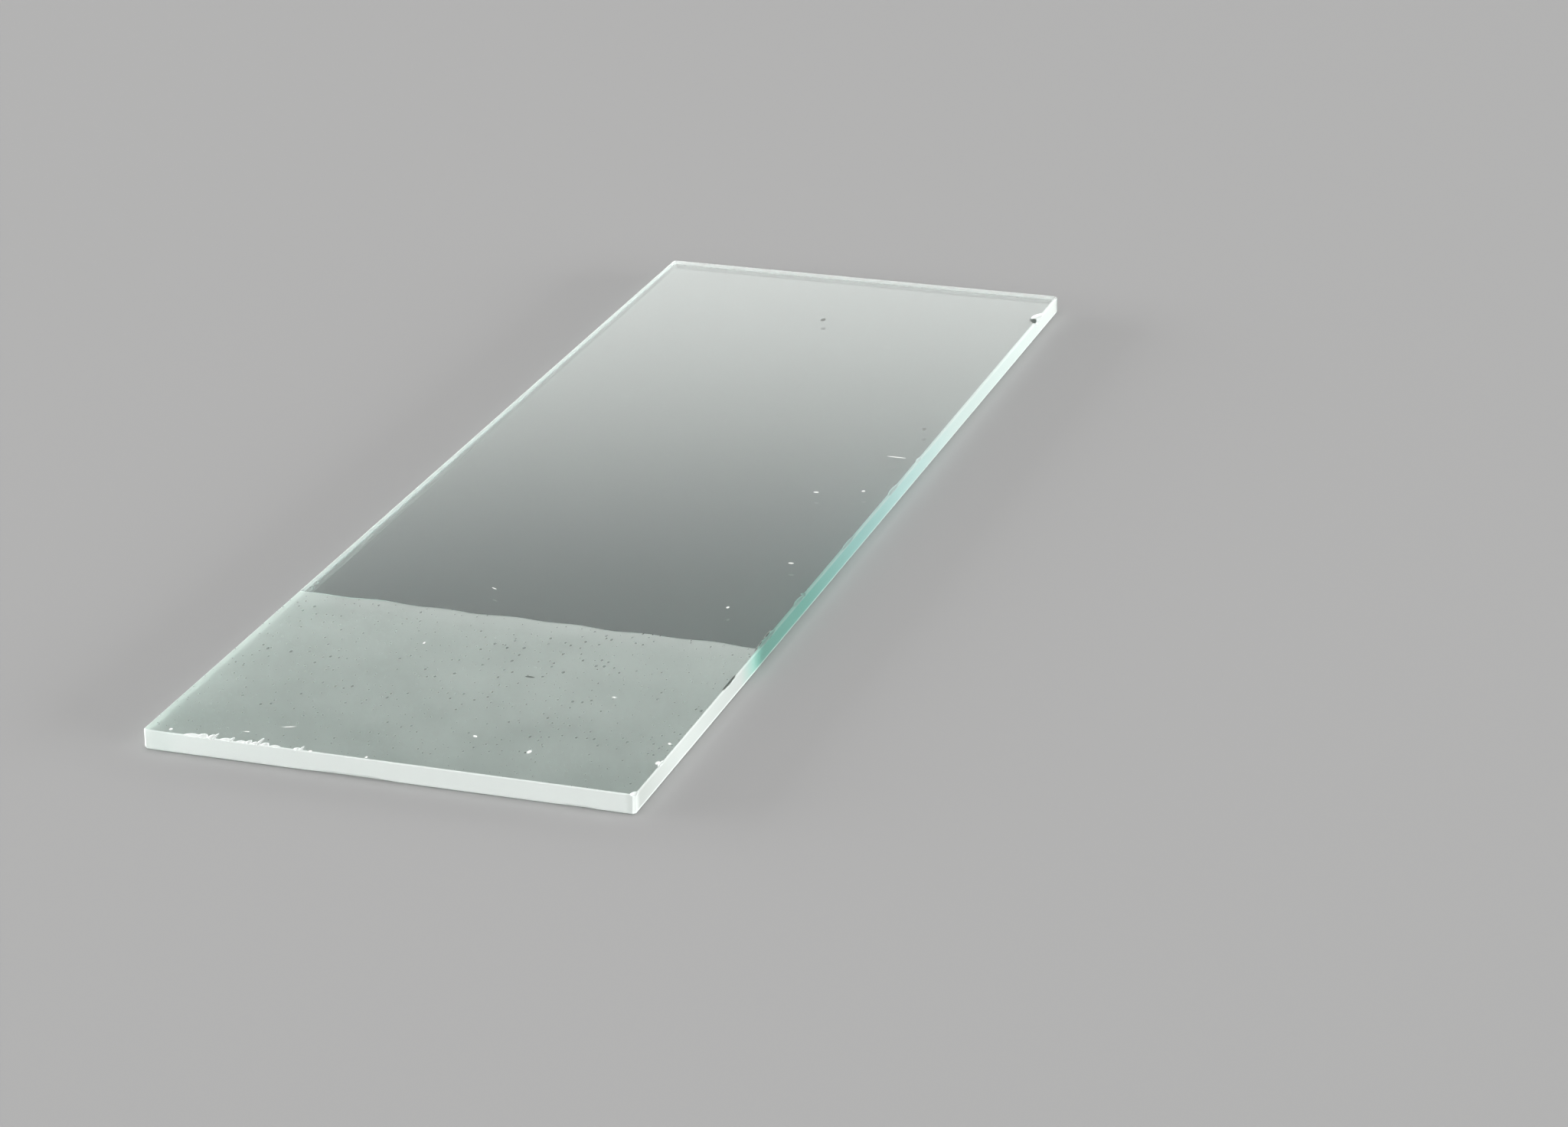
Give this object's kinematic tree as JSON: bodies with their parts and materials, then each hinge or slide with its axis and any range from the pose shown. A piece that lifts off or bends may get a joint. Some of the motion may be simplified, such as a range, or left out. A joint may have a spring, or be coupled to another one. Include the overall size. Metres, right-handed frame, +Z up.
{
  "type": "microscope slide",
  "caption": "Flat rectangular plate of clear glass with ground edges and a matt etched label end, for holding a specimen under a microscope.",
  "frame": {"origin": "middle of the underside, the face that the slide rests on", "axes": "+X along the slide's length, away from the etched label end; +Y across its width; +Z up, out of the face that carries the etched label end"},
  "size_m": [0.075, 0.025, 0.001],
  "materials": {
    "slide_glass": "clear polished faces, satin-white ground edges, matt etched label end"
  },
  "bodies": {
    "root": {"slide": "slide_glass"}
  },
  "joints": []
}
